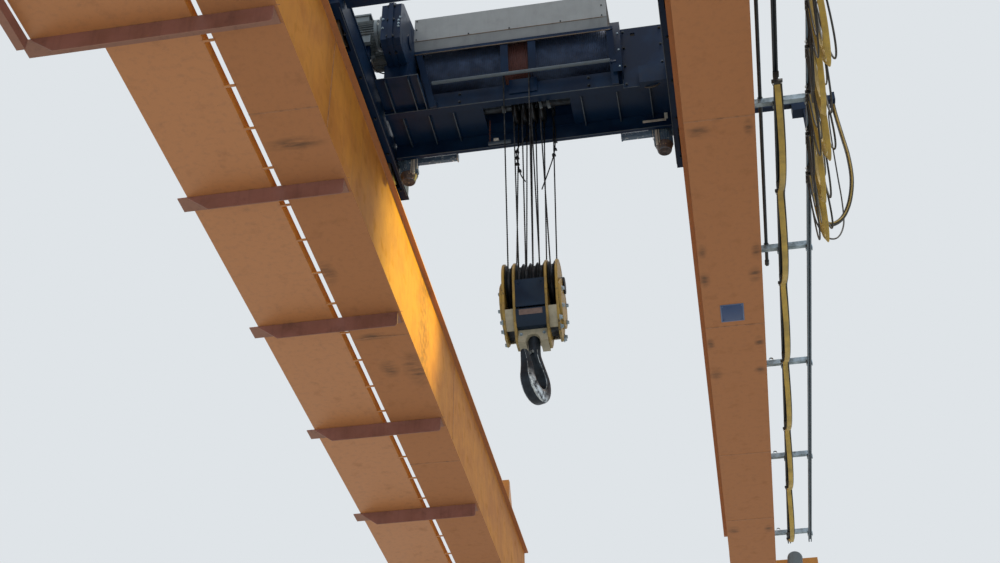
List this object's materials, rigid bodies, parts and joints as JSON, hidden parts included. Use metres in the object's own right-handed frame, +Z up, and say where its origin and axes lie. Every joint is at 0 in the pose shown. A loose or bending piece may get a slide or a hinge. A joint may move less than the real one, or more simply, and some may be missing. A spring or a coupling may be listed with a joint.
{
  "type": "overhead bridge crane",
  "caption": "Double girder overhead travelling crane with an open winch trolley, hook block on rope falls, side walkway and cable festoon.",
  "frame": {"origin": "middle of the crane between the two runway rails, at the height of the rail heads", "axes": "+X across the girders, away from the walkway; +Y along the girders, away from the landing; +Z up"},
  "size_m": [6.423, 13.3, 4.3729],
  "materials": {
    "orange_paint": "satin orange machine paint",
    "navy_paint": "dark blue black machine paint",
    "block_yellow": "worn yellow paint",
    "cover_grey": "light grey paint",
    "rail_steel": "rolled steel, bright where wheels run",
    "dark_steel": "dark oiled steel",
    "forged_steel": "black forged steel, shiny in the throat",
    "galvanised": "dull zinc",
    "motor_grey": "cast aluminium",
    "drum_steel": "greased grooves, brown grey",
    "black_rail": "black",
    "black_plastic": "black moulded",
    "cable_yellow": "yellow flat cable",
    "wire_rope": "dark greased wire rope",
    "rubber_black": "black rubber"
  },
  "bodies": {
    "bridge": {"girder_left": "orange_paint", "girder_right": "orange_paint", "trolley_rails": "rail_steel", "end_stops": "orange_paint", "end_carriage_near": "orange_paint", "end_carriage_far": "orange_paint", "travel_wheels": "rail_steel", "travel_drives": "motor_grey", "buffers": "rubber_black", "walkway_deck": "orange_paint", "walkway_brackets": "orange_paint", "handrail": "orange_paint", "festoon_arms": "galvanised", "inner_cable_rail": "black_rail", "outer_cable_rail": "black_rail", "conduit": "black_rail", "cable_hangers": "black_plastic", "hung_cable": "cable_yellow"},
    "trolley": {"trolley_frame": "navy_paint", "machinery_deck": "navy_paint", "trolley_wheels": "rail_steel", "gearbox": "navy_paint", "hoist_motor": "motor_grey", "drum_cover": "cover_grey", "drum_bearing": "navy_paint", "trolley_drives": "motor_grey", "upper_sheaves": "dark_steel", "tow_arm": "navy_paint", "trolley_cable": "cable_yellow"},
    "drum": {"rope_drum": "drum_steel"},
    "block": {"hoist_ropes": "wire_rope", "block_frame": "block_yellow", "block_sheaves": "dark_steel"},
    "hook": {"hook": "forged_steel"},
    "latch": {"hook_latch": "galvanised"},
    "car_1": {"cable_car_1": "black_plastic", "cable_loop_1": "cable_yellow"},
    "car_2": {"cable_car_2": "black_plastic", "cable_loop_2": "cable_yellow"},
    "car_3": {"cable_car_3": "black_plastic", "cable_loop_3": "cable_yellow"},
    "car_4": {"cable_car_4": "black_plastic", "cable_loop_4": "cable_yellow"},
    "car_5": {"cable_car_5": "black_plastic", "cable_loop_5": "cable_yellow"}
  },
  "joints": [
    {"name": "trolley_travel", "type": "slide", "parent": "bridge", "child": "trolley", "axis": [0, 1, 0], "range_m": [-1.09, 6.24]},
    {"name": "hoist", "type": "slide", "parent": "trolley", "child": "block", "axis": [0, 0, 1], "range_m": [-7.6, 1.2], "deforming": ["hoist_ropes"]},
    {"name": "drum_spin", "type": "hinge", "parent": "trolley", "child": "drum", "pos_m": [0, -2.12, 1.985], "axis": [1, 0, 0], "continuous": true},
    {"name": "hook_swivel", "type": "hinge", "parent": "block", "child": "hook", "pos_m": [0.015, -2.07, -1.2], "axis": [0, 0, 1], "continuous": true},
    {"name": "latch_hinge", "type": "hinge", "parent": "hook", "child": "latch", "pos_m": [-0.0088, -2.13199, -1.4075], "axis": [0.9336, -0.3584, 0], "range_deg": [0, 40], "stiffness_Nm_per_rad": 2},
    {"name": "car_1_slide", "type": "slide", "parent": "bridge", "child": "car_1", "axis": [0, 1, 0], "range_m": [-0.218, 1.248], "deforming": ["cable_loop_1"]},
    {"name": "car_2_slide", "type": "slide", "parent": "car_1", "child": "car_2", "axis": [0, 1, 0], "range_m": [-0.218, 1.248], "deforming": ["cable_loop_2"]},
    {"name": "car_3_slide", "type": "slide", "parent": "car_2", "child": "car_3", "axis": [0, 1, 0], "range_m": [-0.218, 1.248], "deforming": ["cable_loop_3"]},
    {"name": "car_4_slide", "type": "slide", "parent": "car_3", "child": "car_4", "axis": [0, 1, 0], "range_m": [-0.218, 1.248], "deforming": ["cable_loop_4"]},
    {"name": "car_5_slide", "type": "slide", "parent": "car_4", "child": "car_5", "axis": [0, 1, 0], "range_m": [-0.218, 1.248], "deforming": ["cable_loop_5"]}
  ],
  "couplings": [
    {"joint": "drum_spin", "follows": "hoist", "rad_per_m": -20},
    {"joint": "car_1_slide", "follows": "trolley_travel", "ratio": 0.2},
    {"joint": "car_2_slide", "follows": "trolley_travel", "ratio": 0.2},
    {"joint": "car_3_slide", "follows": "trolley_travel", "ratio": 0.2},
    {"joint": "car_4_slide", "follows": "trolley_travel", "ratio": 0.2},
    {"joint": "car_5_slide", "follows": "trolley_travel", "ratio": 0.2}
  ]
}
